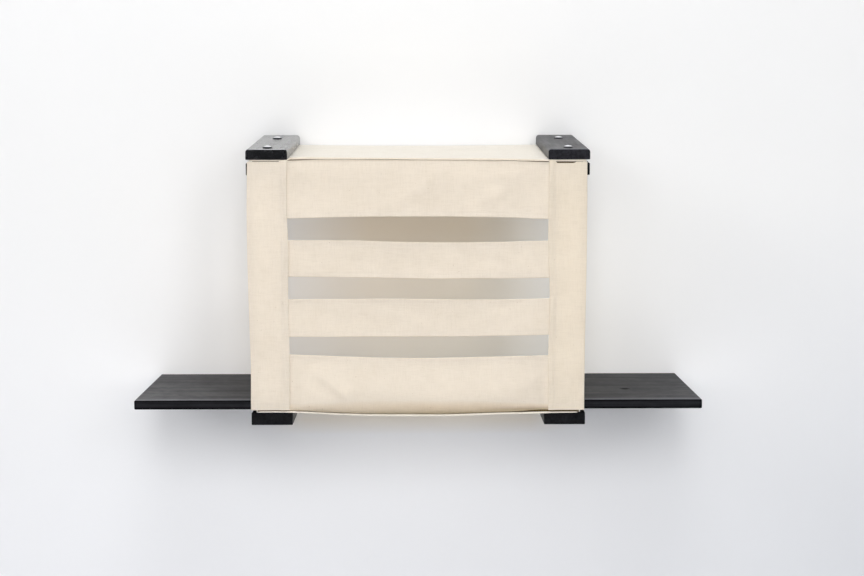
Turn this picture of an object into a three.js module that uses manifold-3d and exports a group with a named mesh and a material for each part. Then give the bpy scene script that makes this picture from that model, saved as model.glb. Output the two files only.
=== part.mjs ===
import * as THREE from 'three';
import { RoundedBoxGeometry } from 'three/addons/geometries/RoundedBoxGeometry.js';
import { mergeVertices } from 'three/addons/utils/BufferGeometryUtils.js';
import Module from 'manifold-3d';

// A wall-mounted cat bed: a black shelf board runs through a slotted canvas tunnel. The tunnel's top
// is clamped between two caps and two arms, and its floor between the shelf and two blocks.
// Millimetres. +X is to the right, +Y goes into the wall and +Z is up. The wall is the plane y = 0,
// and z = 0 is the surface that the cat walks on.

const wasm = await Module();
wasm.setup();

// Fits
const CLEARANCE = 0.3;
const WALL_GAP = 1;
const CUT_OVERRUN = 2;
const MERGE_TOLERANCE = 1e-4;

// Timber
const SHELF_LENGTH = 863.6;
const SHELF_DEPTH = 279.4;
const SHELF_THICKNESS = 14;
const SHELF_EDGE_RADIUS = 2;
const ARM_WIDTH = 62.5;
const CAP_THICKNESS = 16;
const CAP_TOP_RADIUS = 5;
const CAP_EDGE_RADIUS = 1.2;
const CAP_END_BEVEL = 0.8;
const ARM_THICKNESS = 18;
const BLOCK_THICKNESS = 18.5;
const ARM_EDGE_RADIUS = 1.2;
const ARM_DROOP = THREE.MathUtils.degToRad(3.9);

// Canvas
const COVER_WIDTH = 508;
const CAP_OVERHANG = 4.25;
const BLOCK_INSET = 0.35;
const FRONT_HEIGHT = 379.9;
const FRONT_SEAM_DROP = 1.7;
const CANVAS_THICKNESS = 1.5;
const SIDE_HEM_THICKNESS = 5;
const FLOOR_INSET = 8;
const ROOF_SAG = 1.5;
const STRAP_WIDTH = 57.5;
const STRAP_THICKNESS = 1.8;
const STRAP_REVEAL = 3;
const STRAP_CORNER_RADIUS = 2;
const BAND_THICKNESS = 1.2;
const BAND_LAP = 12;
const LIP_DEPTH = 3.3;
const ROOF_LIP_HEIGHT = 2.8;
const FLOOR_LIP_HEIGHT = 3.3;

// Heights of the front's bands and slots, from the top seam down. The bottom band takes what is left.
const TOP_BAND_HEIGHT = 88;
const TOP_SLOT_HEIGHT = 33.5;
const UPPER_BAND_HEIGHT = 55;
const MIDDLE_SLOT_HEIGHT = 33;
const LOWER_BAND_HEIGHT = 56;
const BOTTOM_SLOT_HEIGHT = 30;

// How far the middle of each free edge is drawn up from the line between its ends. A negative bow hangs.
const TOP_BAND_LOWER_BOW = 3;
const UPPER_BAND_UPPER_BOW = -2.6;
const UPPER_BAND_LOWER_BOW = -1.9;
const LOWER_BAND_LOWER_BOW = -0.8;
const BOTTOM_BAND_UPPER_BOW = -4.2;
const FLOOR_BOW = -4.4;

// Steel brackets
const BRACKET_WIDTH = 25;
const BRACKET_THICKNESS = 3;
const BRACKET_BEND_RADIUS = 7;
const UPPER_LEG_LENGTH = 85;
const LOWER_LEG_LENGTH = 44;
const BAR_END_MARGIN = 11;
const LEG_HOLE_DIAMETER = 5.5;
const LEG_HOLE_TOP_MARGIN = 18;
const LEG_HOLE_END_MARGIN = 10;

// Fasteners: domed bolts through the caps, and pan-head screws up into the shelf
const BOLT_DIAMETER = 6.35;
const BOLT_HEAD_DIAMETER = 15;
const BOLT_HEAD_HEIGHT = 3.4;
const BOLT_HEAD_RIM = 0.6;
const BOLT_NECK_HEIGHT = 3.8;
const BOLT_TIP_LENGTH = 2.4;
const BOLT_FRONT_INSET = 25;
const BOLT_REAR_REACH = 79;
const WASHER_DIAMETER = 16;
const WASHER_THICKNESS = 1.6;
const NUT_ACROSS_FLATS = 11.1;
const NUT_THICKNESS = 5.6;
const SCREW_DIAMETER = 4.5;
const SCREW_HEAD_DIAMETER = 9;
const SCREW_HEAD_HEIGHT = 2.8;
const SCREW_BITE = 9;
const SCREW_POINT_LENGTH = 4;
const SCREW_REAR_REACH = 60;
const SCREW_FRONT_REACH = 225;

// Counts of facets
const HOLE_SIDES = 24;
const ARC_STEPS = 6;
const BOW_STEPS = 16;
const NUT_SIDES = 6;

const SIDES = [
  { name: 'left', sign: -1 },
  { name: 'right', sign: 1 },
];

// Layout worked out from the sizes above
const boltHole = BOLT_DIAMETER + 2 * CLEARANCE;
const screwHole = SCREW_DIAMETER + 2 * CLEARANCE;
const clampGap = SIDE_HEM_THICKNESS + 2 * CLEARANCE;
const shelfFront = WALL_GAP + SHELF_DEPTH;
const bandBack = shelfFront + CLEARANCE;
const strapBack = bandBack + BAND_THICKNESS + CLEARANCE;
const strapFront = strapBack + STRAP_THICKNESS;
const strapInner = COVER_WIDTH / 2 - STRAP_WIDTH;
const capInner = COVER_WIDTH / 2 + CAP_OVERHANG - ARM_WIDTH;
const capCentre = capInner + ARM_WIDTH / 2;
const blockCentre = COVER_WIDTH / 2 - BLOCK_INSET - ARM_WIDTH / 2;
const frontBottom = -SHELF_THICKNESS - FRONT_SEAM_DROP;
const frontTop = frontBottom + FRONT_HEIGHT;
const blockTop = -SHELF_THICKNESS - clampGap;
const blockBottom = blockTop - BLOCK_THICKNESS;

// The arms, caps and roof are laid out level, hinged at the wall, and then turned down by the droop.
const roofTop = -CAP_THICKNESS - CLEARANCE;
const armTop = -CAP_THICKNESS - clampGap;
const armBottom = armTop - ARM_THICKNESS;
const roofBottom = roofTop - SIDE_HEM_THICKNESS;

// The reach along the arms, at the given height in their level layout, that ends at y = -distance.
const reachTo = (distance, height) => (distance - height * Math.sin(ARM_DROOP)) / Math.cos(ARM_DROOP);
const roofReach = reachTo(shelfFront, roofTop);
const armReach = reachTo(shelfFront, armTop);
const capReach = reachTo(strapFront, -CAP_THICKNESS);
const hingeHeight = frontTop + roofReach * Math.sin(ARM_DROOP) - roofTop * Math.cos(ARM_DROOP);
const boltReaches = [
  { name: 'front', reach: capReach - BOLT_FRONT_INSET },
  { name: 'rear', reach: BOLT_REAR_REACH },
];
const screwReaches = [
  { name: 'front', reach: SCREW_FRONT_REACH },
  { name: 'rear', reach: SCREW_REAR_REACH },
];

const finishes = {
  blackWood: () => new THREE.MeshStandardMaterial({ color: 0x2a2a2d, roughness: 0.55, metalness: 0 }),
  canvas: () => new THREE.MeshStandardMaterial({ color: 0xece0cc, roughness: 0.95, metalness: 0 }),
  blackSteel: () => new THREE.MeshStandardMaterial({ color: 0x1c1c1e, roughness: 0.5, metalness: 0.4 }),
  zinc: () => new THREE.MeshStandardMaterial({ color: 0xc9ccd0, roughness: 0.3, metalness: 1 }),
};

// Geometry helpers

function toSolid(geometry) {
  const bare = geometry.clone();
  bare.deleteAttribute('normal');
  bare.deleteAttribute('uv');
  const merged = mergeVertices(bare, MERGE_TOLERANCE);
  const vertProperties = new Float32Array(merged.attributes.position.array);
  const triVerts = new Uint32Array(merged.index.array);
  return new wasm.Manifold(new wasm.Mesh({ numProp: 3, vertProperties, triVerts }));
}

function toGeometry(solid) {
  const mesh = solid.getMesh();
  const geometry = new THREE.BufferGeometry();
  geometry.setAttribute('position', new THREE.BufferAttribute(new Float32Array(mesh.vertProperties), 3));
  geometry.setIndex(new THREE.BufferAttribute(new Uint32Array(mesh.triVerts), 1));
  geometry.computeVertexNormals();
  return geometry;
}

function cut(geometry, cutters) {
  let solid = toSolid(geometry);
  for (const cutter of cutters) {
    solid = solid.subtract(toSolid(cutter));
  }
  return toGeometry(solid);
}

function join(geometries) {
  const [first, ...rest] = geometries.map(toSolid);
  return toGeometry(rest.reduce((whole, piece) => whole.add(piece), first));
}

// A profile drawn in x and z, extruded towards the room from y = -from to y = -to.
function extrudeForward(shape, from, to, bevel = 0) {
  const geometry = new THREE.ExtrudeGeometry(shape, {
    depth: to - from - 2 * bevel,
    bevelEnabled: bevel > 0,
    bevelThickness: bevel,
    bevelSize: bevel,
    bevelOffset: -bevel,
    bevelSegments: 1,
    curveSegments: BOW_STEPS,
  });
  geometry.translate(0, 0, from + bevel);
  const toRoom = new THREE.Matrix4().makeBasis(
    new THREE.Vector3(1, 0, 0),
    new THREE.Vector3(0, 0, 1),
    new THREE.Vector3(0, -1, 0),
  );
  return geometry.applyMatrix4(toRoom);
}

// A profile drawn in y and z, extruded along x about its middle.
function extrudeSideways(shape, width, centre) {
  const geometry = new THREE.ExtrudeGeometry(shape, {
    depth: width,
    bevelEnabled: false,
    curveSegments: ARC_STEPS,
  });
  const toSide = new THREE.Matrix4().makeBasis(
    new THREE.Vector3(0, 1, 0),
    new THREE.Vector3(0, 0, 1),
    new THREE.Vector3(1, 0, 0),
  );
  geometry.applyMatrix4(toSide);
  return geometry.translate(centre - width / 2, 0, 0);
}

// An upright bore from z = low to z = high, its axis at x and at the given reach from the wall.
function bore(diameter, x, reach, low, high) {
  const geometry = new THREE.CylinderGeometry(diameter / 2, diameter / 2, high - low, HOLE_SIDES);
  geometry.rotateX(Math.PI / 2);
  return geometry.translate(x, -reach, (low + high) / 2);
}

// A bore that runs along y, for the wall screws.
function wallBore(diameter, x, z, depth) {
  const geometry = new THREE.CylinderGeometry(diameter / 2, diameter / 2, depth, HOLE_SIDES);
  return geometry.translate(x, 0, z);
}

function turned(points) {
  const geometry = new THREE.LatheGeometry(points, HOLE_SIDES);
  return geometry.rotateX(Math.PI / 2);
}

function board(width, reachBack, reachFront, low, high, radius) {
  const depth = reachFront - reachBack;
  const geometry = new RoundedBoxGeometry(width, depth, high - low, 2, radius);
  return geometry.translate(0, -(reachBack + reachFront) / 2, (low + high) / 2);
}

function named(name, geometry, material) {
  const mesh = new THREE.Mesh(geometry, material);
  mesh.name = name;
  return mesh;
}

// Timber

function shelfBoard() {
  const plank = board(SHELF_LENGTH, WALL_GAP, shelfFront, -SHELF_THICKNESS, 0, SHELF_EDGE_RADIUS);
  const bite = SCREW_BITE + CLEARANCE;
  const holes = SIDES.flatMap(({ sign }) => screwReaches.map(({ reach }) => bore(
    screwHole,
    sign * blockCentre,
    reach,
    -SHELF_THICKNESS - CUT_OVERRUN,
    -SHELF_THICKNESS + bite,
  )));
  return named('shelf_board', cut(plank, holes), finishes.blackWood());
}

// The cap's end view: its long upper edges are rounded over, its lower ones only eased.
function capOutline() {
  const half = ARM_WIDTH / 2;
  const upper = CAP_TOP_RADIUS;
  const lower = CAP_EDGE_RADIUS;
  const shape = new THREE.Shape();
  shape.absarc(half - lower, -CAP_THICKNESS + lower, lower, -Math.PI / 2, 0, false);
  shape.absarc(half - upper, -upper, upper, 0, Math.PI / 2, false);
  shape.absarc(-half + upper, -upper, upper, Math.PI / 2, Math.PI, false);
  shape.absarc(-half + lower, -CAP_THICKNESS + lower, lower, Math.PI, Math.PI * 3 / 2, false);
  return new THREE.Shape(shape.getPoints(ARC_STEPS));
}

function cap({ name, sign }) {
  const x = sign * capCentre;
  const back = reachTo(WALL_GAP, -CAP_THICKNESS);
  const bar = extrudeForward(capOutline(), back, capReach, CAP_END_BEVEL).translate(x, 0, 0);
  const pocketSide = BOLT_DIAMETER + 2 * CLEARANCE;
  const pocketDepth = BOLT_NECK_HEIGHT + CLEARANCE;
  const cutters = boltReaches.flatMap(({ reach }) => [
    bore(boltHole, x, reach, -CAP_THICKNESS - CUT_OVERRUN, CUT_OVERRUN),
    new THREE.BoxGeometry(pocketSide, pocketSide, pocketDepth + CUT_OVERRUN)
      .translate(x, -reach, (CUT_OVERRUN - pocketDepth) / 2),
  ]);
  return named(`cap_${name}`, cut(bar, cutters), finishes.blackWood());
}

function arm({ name, sign }) {
  const x = sign * capCentre;
  const back = reachTo(WALL_GAP, armBottom);
  const bar = board(ARM_WIDTH, back, armReach, armBottom, armTop, ARM_EDGE_RADIUS).translate(x, 0, 0);
  const holes = boltReaches.map(({ reach }) => (
    bore(boltHole, x, reach, armBottom - CUT_OVERRUN, armTop + CUT_OVERRUN)
  ));
  return named(`arm_${name}`, cut(bar, holes), finishes.blackWood());
}

function block({ name, sign }) {
  const x = sign * blockCentre;
  const bar = board(ARM_WIDTH, WALL_GAP, shelfFront, blockBottom, blockTop, ARM_EDGE_RADIUS)
    .translate(x, 0, 0);
  const holes = screwReaches.map(({ reach }) => (
    bore(screwHole, x, reach, blockBottom - CUT_OVERRUN, blockTop + CUT_OVERRUN)
  ));
  return named(`block_${name}`, cut(bar, holes), finishes.blackWood());
}

// Canvas

// Height of a sheet that hangs between two level edges, as a share of its bow.
const hangShare = (x, halfSpan) => Math.max(0, 1 - (x / halfSpan) ** 2);

// A sheet with thick folded hems along both sides and a single layer between them, in end view.
function hemmedSheet(halfWidth, top, bow) {
  const hemInner = strapInner;
  const stations = Array.from({ length: BOW_STEPS + 1 }, (_, i) => hemInner * (2 * i / BOW_STEPS - 1));
  const upper = stations.map((x) => new THREE.Vector2(x, top + bow * hangShare(x, hemInner)));
  const lower = upper.map(({ x, y }) => new THREE.Vector2(x, y - CANVAS_THICKNESS)).reverse();
  const under = top - SIDE_HEM_THICKNESS;
  return new THREE.Shape([
    new THREE.Vector2(-halfWidth, top),
    ...upper,
    new THREE.Vector2(halfWidth, top),
    new THREE.Vector2(halfWidth, under),
    new THREE.Vector2(hemInner, under),
    ...lower,
    new THREE.Vector2(-hemInner, under),
    new THREE.Vector2(-halfWidth, under),
  ]);
}

function roof() {
  const outline = hemmedSheet(COVER_WIDTH / 2, roofTop, -ROOF_SAG);
  const sheet = extrudeForward(outline, reachTo(WALL_GAP, roofBottom), roofReach);
  const holes = SIDES.flatMap(({ sign }) => boltReaches.map(({ reach }) => (
    bore(boltHole, sign * capCentre, reach, armTop - CUT_OVERRUN, CUT_OVERRUN)
  )));
  return named('canvas_roof', cut(sheet, holes), finishes.canvas());
}

function floor() {
  const top = -SHELF_THICKNESS - CLEARANCE;
  const outline = hemmedSheet(COVER_WIDTH / 2 - FLOOR_INSET, top, FLOOR_BOW);
  const sheet = extrudeForward(outline, WALL_GAP, shelfFront);
  const holes = SIDES.flatMap(({ sign }) => screwReaches.map(({ reach }) => (
    bore(screwHole, sign * blockCentre, reach, blockTop - CUT_OVERRUN, CUT_OVERRUN)
  )));
  return named('canvas_floor', cut(sheet, holes), finishes.canvas());
}

function strap({ name, sign }) {
  const low = frontBottom;
  const high = frontTop - STRAP_REVEAL;
  const r = STRAP_CORNER_RADIUS;
  const half = STRAP_WIDTH / 2;
  const shape = new THREE.Shape();
  shape.absarc(half - r, low + r, r, -Math.PI / 2, 0, false);
  shape.absarc(half - r, high - r, r, 0, Math.PI / 2, false);
  shape.absarc(-half + r, high - r, r, Math.PI / 2, Math.PI, false);
  shape.absarc(-half + r, low + r, r, Math.PI, Math.PI * 3 / 2, false);
  const outline = new THREE.Shape(shape.getPoints(ARC_STEPS));
  const centre = sign * (strapInner + half);
  const sheet = extrudeForward(outline, strapBack, strapFront).translate(centre, 0, 0);
  return named(`canvas_strap_${name}`, sheet, finishes.canvas());
}

// A level strip whose two long edges each bow between the straps and run straight behind them.
function bowedStrip(halfLength, low, high, lowerBow, upperBow) {
  const inner = Math.min(strapInner, halfLength);
  const shape = new THREE.Shape();
  shape.moveTo(-halfLength, low);
  shape.lineTo(-inner, low);
  shape.quadraticCurveTo(0, low + 2 * lowerBow, inner, low);
  shape.lineTo(halfLength, low);
  shape.lineTo(halfLength, high);
  shape.lineTo(inner, high);
  shape.quadraticCurveTo(0, high + 2 * upperBow, -inner, high);
  shape.lineTo(-halfLength, high);
  return shape;
}

const bottomBandHeight = FRONT_HEIGHT
  - TOP_BAND_HEIGHT - TOP_SLOT_HEIGHT
  - UPPER_BAND_HEIGHT - MIDDLE_SLOT_HEIGHT
  - LOWER_BAND_HEIGHT - BOTTOM_SLOT_HEIGHT;

const BANDS = [
  {
    name: 'top',
    height: TOP_BAND_HEIGHT,
    slotBelow: TOP_SLOT_HEIGHT,
    upperBow: 0,
    lowerBow: TOP_BAND_LOWER_BOW,
  },
  {
    name: 'upper',
    height: UPPER_BAND_HEIGHT,
    slotBelow: MIDDLE_SLOT_HEIGHT,
    upperBow: UPPER_BAND_UPPER_BOW,
    lowerBow: UPPER_BAND_LOWER_BOW,
  },
  {
    name: 'lower',
    height: LOWER_BAND_HEIGHT,
    slotBelow: BOTTOM_SLOT_HEIGHT,
    upperBow: 0,
    lowerBow: LOWER_BAND_LOWER_BOW,
  },
  {
    name: 'bottom',
    height: bottomBandHeight,
    slotBelow: 0,
    upperBow: BOTTOM_BAND_UPPER_BOW,
    lowerBow: FLOOR_BOW,
  },
];

function bands() {
  let high = frontTop;
  return BANDS.map(({ name, height, slotBelow, upperBow, lowerBow }) => {
    const low = high - height;
    const outline = bowedStrip(strapInner + BAND_LAP, low, high, lowerBow, upperBow);
    const sheet = extrudeForward(outline, bandBack, bandBack + BAND_THICKNESS);
    high = low - slotBelow;
    return named(`canvas_band_${name}`, sheet, finishes.canvas());
  });
}

// The rolled edge where the roof meets the front, between the caps
function roofLip() {
  const low = frontTop + CLEARANCE;
  const outline = bowedStrip(capInner - CLEARANCE, low, low + ROOF_LIP_HEIGHT, 0, 0);
  const sheet = extrudeForward(outline, shelfFront, shelfFront + LIP_DEPTH);
  return named('canvas_lip_roof', sheet, finishes.canvas());
}

// The rolled edge where the floor meets the front, over the faces of the blocks
function floorLip() {
  const high = frontBottom - CLEARANCE;
  const halfLength = COVER_WIDTH / 2 - FLOOR_INSET;
  const outline = bowedStrip(halfLength, high - FLOOR_LIP_HEIGHT, high, FLOOR_BOW, FLOOR_BOW);
  const sheet = extrudeForward(outline, bandBack, bandBack + LIP_DEPTH);
  return named('canvas_lip_floor', sheet, finishes.canvas());
}

// Brackets: one strip of steel, bent to follow the wall and the underside of its timber

function bracketOutline(cornerHeight, barReach, legLength, droop) {
  const outer = BRACKET_BEND_RADIUS;
  const inner = outer - BRACKET_THICKNESS;
  const turn = Math.PI / 2 + droop;
  const along = new THREE.Vector2(-Math.cos(droop), -Math.sin(droop));
  const upward = new THREE.Vector2(-Math.sin(droop), Math.cos(droop));
  const centre = new THREE.Vector2(-outer, cornerHeight - outer * (1 + Math.sin(droop)) / Math.cos(droop));
  const barEnd = centre.clone().addScaledVector(along, barReach - outer);
  const endTop = barEnd.clone().addScaledVector(upward, outer);
  const endUnder = barEnd.clone().addScaledVector(upward, inner);
  const legEnd = cornerHeight - legLength;
  const shape = new THREE.Shape();
  shape.moveTo(-BRACKET_THICKNESS, legEnd);
  shape.lineTo(0, legEnd);
  shape.absarc(centre.x, centre.y, outer, 0, turn, false);
  shape.lineTo(endTop.x, endTop.y);
  shape.lineTo(endUnder.x, endUnder.y);
  shape.absarc(centre.x, centre.y, inner, turn, 0, true);
  return new THREE.Shape(shape.getPoints(ARC_STEPS));
}

function bracketBlank(x, cornerHeight, barReach, legLength, droop) {
  const strip = extrudeSideways(bracketOutline(cornerHeight, barReach, legLength, droop), BRACKET_WIDTH, x);
  const heights = [cornerHeight - LEG_HOLE_TOP_MARGIN, cornerHeight - legLength + LEG_HOLE_END_MARGIN];
  const depth = 2 * (BRACKET_THICKNESS + CUT_OVERRUN);
  return cut(strip, heights.map((z) => wallBore(LEG_HOLE_DIAMETER, x, z, depth)));
}

function upperBracket({ name, sign }) {
  const x = sign * capCentre;
  const barTop = armBottom - CLEARANCE;
  const cornerHeight = hingeHeight + barTop / Math.cos(ARM_DROOP);
  const barReach = boltReaches[0].reach + BAR_END_MARGIN;
  const blank = bracketBlank(x, cornerHeight, barReach, UPPER_LEG_LENGTH, ARM_DROOP);
  const low = barTop - BRACKET_THICKNESS - CUT_OVERRUN;
  const holes = boltReaches.map(({ reach }) => {
    const hole = bore(boltHole, x, reach, low, barTop + CUT_OVERRUN);
    return hole.rotateX(ARM_DROOP).translate(0, 0, hingeHeight);
  });
  return named(`bracket_upper_${name}`, cut(blank, holes), finishes.blackSteel());
}

function lowerBracket({ name, sign }) {
  const x = sign * blockCentre;
  const barTop = blockBottom - CLEARANCE;
  const barReach = SCREW_FRONT_REACH + BAR_END_MARGIN;
  const blank = bracketBlank(x, barTop, barReach, LOWER_LEG_LENGTH, 0);
  const low = barTop - BRACKET_THICKNESS - CUT_OVERRUN;
  const holes = screwReaches.map(({ reach }) => bore(screwHole, x, reach, low, barTop + CUT_OVERRUN));
  return named(`bracket_lower_${name}`, cut(blank, holes), finishes.blackSteel());
}

// Fasteners

function domeHead(diameter, height, rim) {
  const rise = height - rim;
  const radius = ((diameter / 2) ** 2 + rise ** 2) / (2 * rise);
  const sweep = Math.asin(diameter / 2 / radius);
  const points = [new THREE.Vector2(0, 0), new THREE.Vector2(diameter / 2, 0)];
  for (let i = 0; i <= ARC_STEPS; i += 1) {
    const angle = sweep * (1 - i / ARC_STEPS);
    points.push(new THREE.Vector2(radius * Math.sin(angle), height - radius + radius * Math.cos(angle)));
  }
  points[points.length - 1].x = 0;
  return turned(points);
}

function capBolt() {
  const washerTop = armBottom - 2 * CLEARANCE - BRACKET_THICKNESS;
  const nutBottom = washerTop - WASHER_THICKNESS - CLEARANCE - NUT_THICKNESS;
  const tip = nutBottom - BOLT_TIP_LENGTH;
  const underHead = CLEARANCE;
  const head = domeHead(BOLT_HEAD_DIAMETER, BOLT_HEAD_HEIGHT, BOLT_HEAD_RIM).translate(0, 0, underHead);
  const sunk = BOLT_HEAD_RIM / 2;
  const neckHeight = BOLT_NECK_HEIGHT + sunk;
  const neck = new THREE.BoxGeometry(BOLT_DIAMETER, BOLT_DIAMETER, neckHeight)
    .translate(0, 0, underHead + sunk - neckHeight / 2);
  const shank = bore(BOLT_DIAMETER, 0, 0, tip, underHead + sunk);
  return { geometry: join([head, neck, shank]), washerTop };
}

function washer() {
  const ring = bore(WASHER_DIAMETER, 0, 0, -WASHER_THICKNESS, 0);
  return cut(ring, [bore(boltHole, 0, 0, -WASHER_THICKNESS - CUT_OVERRUN, CUT_OVERRUN)]);
}

function nut() {
  const radius = NUT_ACROSS_FLATS / 2 / Math.cos(Math.PI / NUT_SIDES);
  const hexagon = new THREE.CylinderGeometry(radius, radius, NUT_THICKNESS, NUT_SIDES).rotateX(Math.PI / 2);
  hexagon.translate(0, 0, -NUT_THICKNESS / 2);
  return cut(hexagon, [bore(boltHole, 0, 0, -NUT_THICKNESS - CUT_OVERRUN, CUT_OVERRUN)]);
}

function capFasteners({ name, sign }) {
  const x = sign * capCentre;
  const { geometry: bolt, washerTop } = capBolt();
  const nutTop = washerTop - WASHER_THICKNESS - CLEARANCE;
  return boltReaches.flatMap(({ name: place, reach }) => [
    named(`cap_bolt_${name}_${place}`, bolt.clone().translate(x, -reach, 0), finishes.zinc()),
    named(`cap_washer_${name}_${place}`, washer().translate(x, -reach, washerTop), finishes.zinc()),
    named(`cap_nut_${name}_${place}`, nut().translate(x, -reach, nutTop), finishes.zinc()),
  ]);
}

// A screw that points up, with its head under the lower bracket
function blockScrews({ name, sign }) {
  const x = sign * blockCentre;
  const headTop = blockBottom - 2 * CLEARANCE - BRACKET_THICKNESS;
  const length = -SHELF_THICKNESS + SCREW_BITE - headTop;
  const shank = SCREW_DIAMETER / 2;
  const head = SCREW_HEAD_DIAMETER / 2;
  const crown = head / 2;
  const profile = [
    new THREE.Vector2(0, -SCREW_HEAD_HEIGHT),
    new THREE.Vector2(crown, -SCREW_HEAD_HEIGHT),
    new THREE.Vector2(head, -SCREW_HEAD_HEIGHT / 2),
    new THREE.Vector2(head, 0),
    new THREE.Vector2(shank, 0),
    new THREE.Vector2(shank, length - SCREW_POINT_LENGTH),
    new THREE.Vector2(0, length),
  ];
  return screwReaches.map(({ name: place, reach }) => (
    named(`block_screw_${name}_${place}`, turned(profile).translate(x, -reach, headTop), finishes.zinc())
  ));
}

// Assembly

const upperWorks = new THREE.Group();
upperWorks.position.z = hingeHeight;
upperWorks.rotation.x = ARM_DROOP;
upperWorks.add(roof());
for (const side of SIDES) {
  upperWorks.add(cap(side), arm(side), ...capFasteners(side));
}

const catBed = new THREE.Group();
catBed.add(upperWorks, shelfBoard(), floor(), roofLip(), floorLip(), ...bands());
for (const side of SIDES) {
  catBed.add(block(side), upperBracket(side), lowerBracket(side), strap(side), ...blockScrews(side));
}

export default catBed;
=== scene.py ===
"""Looks for a wall-mounted cat bed: a slotted canvas tunnel round a black shelf board.

Lengths are millimetres in the tables and helpers for the cloth and in the sizes that materials are
given, and metres in the meshes and shader nodes and for the stage, the lights and the camera. +X is
to the right, +Y goes into the wall and +Z is up; z = 0 is the surface that the cat walks on.
"""

import math
import random

import bpy
import numpy as np
from mathutils import Matrix, Vector


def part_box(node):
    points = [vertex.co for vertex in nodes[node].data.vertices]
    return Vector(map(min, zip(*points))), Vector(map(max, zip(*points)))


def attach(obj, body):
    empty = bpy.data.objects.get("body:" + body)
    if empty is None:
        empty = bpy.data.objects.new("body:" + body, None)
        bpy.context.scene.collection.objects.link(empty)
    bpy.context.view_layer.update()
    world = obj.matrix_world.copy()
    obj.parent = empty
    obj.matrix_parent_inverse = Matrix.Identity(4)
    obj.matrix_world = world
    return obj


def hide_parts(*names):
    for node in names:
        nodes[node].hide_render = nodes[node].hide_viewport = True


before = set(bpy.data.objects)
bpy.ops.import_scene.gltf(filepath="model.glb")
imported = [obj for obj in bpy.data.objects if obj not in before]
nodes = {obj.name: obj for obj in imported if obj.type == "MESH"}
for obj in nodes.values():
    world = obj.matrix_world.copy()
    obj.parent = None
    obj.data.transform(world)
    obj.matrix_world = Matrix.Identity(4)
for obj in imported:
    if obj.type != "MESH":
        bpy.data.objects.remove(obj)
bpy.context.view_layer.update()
MM = 0.001

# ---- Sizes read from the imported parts, in millimetres


def edges(node):
    """The lowest and highest corners of a CAD node, in millimetres."""
    low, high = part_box(node)
    return np.array(low) / MM, np.array(high) / MM


shelf_low, shelf_high = edges("shelf_board")
cap_low, cap_high = edges("cap_right")
strap_low, strap_high = edges("canvas_strap_right")
roof_low, roof_high = edges("canvas_roof")
floor_low, floor_high = edges("canvas_floor")
band_low, band_high = edges("canvas_band_top")
STRAP_IN, STRAP_OUT = strap_low[0], strap_high[0]
BAND_END = band_high[0]
# Where the middle of the front plies lies before it sags
BAND_PLY_Y = (band_low[1] + band_high[1]) / 2 - 0.38
STRAP_PLY_Y = (strap_low[1] + strap_high[1]) / 2 - 0.32

# The arms, the caps and the roof fall this much for each length towards the room
SLOPE = math.tan(math.radians(3.9))
# The height at the wall of the caps' top, and the (y, z) of its front edge
CAP_LEVEL = cap_high[2] - cap_high[1] * SLOPE
CAP_EDGE = (cap_low[1], CAP_LEVEL + cap_low[1] * SLOPE)

# ---- The cloth's own sizes

CLOTH = 0.7  # thickness of the canvas
PLY_GAP = 0.12  # between the two plies of a hem
HEM = 9.0
TURNING = 5.0  # the narrower fold at the front seams, which has no stitches of its own
SEAM = 6.0  # from a band's edge to the stitches of its hem
FOLD_REACH = 9.5  # how far the narrow steps beside a folded edge go
YARN = 1.15  # from one yarn of the weave to the next
TO_ROOM, UPWARD = (0.0, -1.0, 0.0), (0.0, 0.0, 1.0)

# ---- Small helpers


def spline(points):
    """A natural cubic curve through (place, value) pairs, held level outside them."""
    xs, ys = (np.array(v, float) for v in zip(*points))
    n = len(xs)
    h = np.diff(xs)
    a, b = np.zeros((n, n)), np.zeros(n)
    a[0, 0] = a[-1, -1] = 1
    for i in range(1, n - 1):
        a[i, i - 1 : i + 2] = h[i - 1], 2 * (h[i - 1] + h[i]), h[i]
        b[i] = 6 * ((ys[i + 1] - ys[i]) / h[i] - (ys[i] - ys[i - 1]) / h[i - 1])
    m = np.linalg.solve(a, b)

    def value(x):
        x = np.clip(np.asarray(x, float), xs[0], xs[-1])
        i = np.clip(np.searchsorted(xs, x) - 1, 0, n - 2)
        s, e, w = x - xs[i], xs[i + 1] - x, h[i]
        return (
            m[i] * e**3 / (6 * w)
            + m[i + 1] * s**3 / (6 * w)
            + (ys[i] / w - m[i] * w / 6) * e
            + (ys[i + 1] / w - m[i + 1] * w / 6) * s
        )

    return value


def step(x, low, high):
    """0 below low, 1 above high and smooth between; low may be the larger."""
    t = np.clip((np.asarray(x, float) - low) / (high - low), 0, 1)
    return t * t * (3 - 2 * t)


def hump(away, width):
    """1 at no distance, and falling off over about the width."""
    return np.exp(-((away / width) ** 2))


def stations(low, high, first, second, count=150):
    """Places from low to high, with two steps of their own at both ends."""
    middle = np.linspace(low + second, high - second, count)
    return np.concatenate([[low, low + first], middle, [high - first, high]])


def ripples(seed, count, shortest, longest, slant):
    """A smooth random height field of about unit size, over two coordinates in millimetres."""
    dice = random.Random(seed)
    waves = []
    for _ in range(count):
        length = dice.uniform(shortest, longest)
        turn = dice.uniform(-slant, slant)
        k = 2 * math.pi / length
        phase, size = dice.uniform(0, 7), dice.uniform(0.4, 1)
        waves.append((k * math.sin(turn), k * math.cos(turn), phase, size))
    total = math.sqrt(sum(w[3] ** 2 for w in waves) / 2)

    def value(u, v):
        return sum(s * np.sin(a * u + b * v + p) for a, b, p, s in waves) / total

    return value


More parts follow.
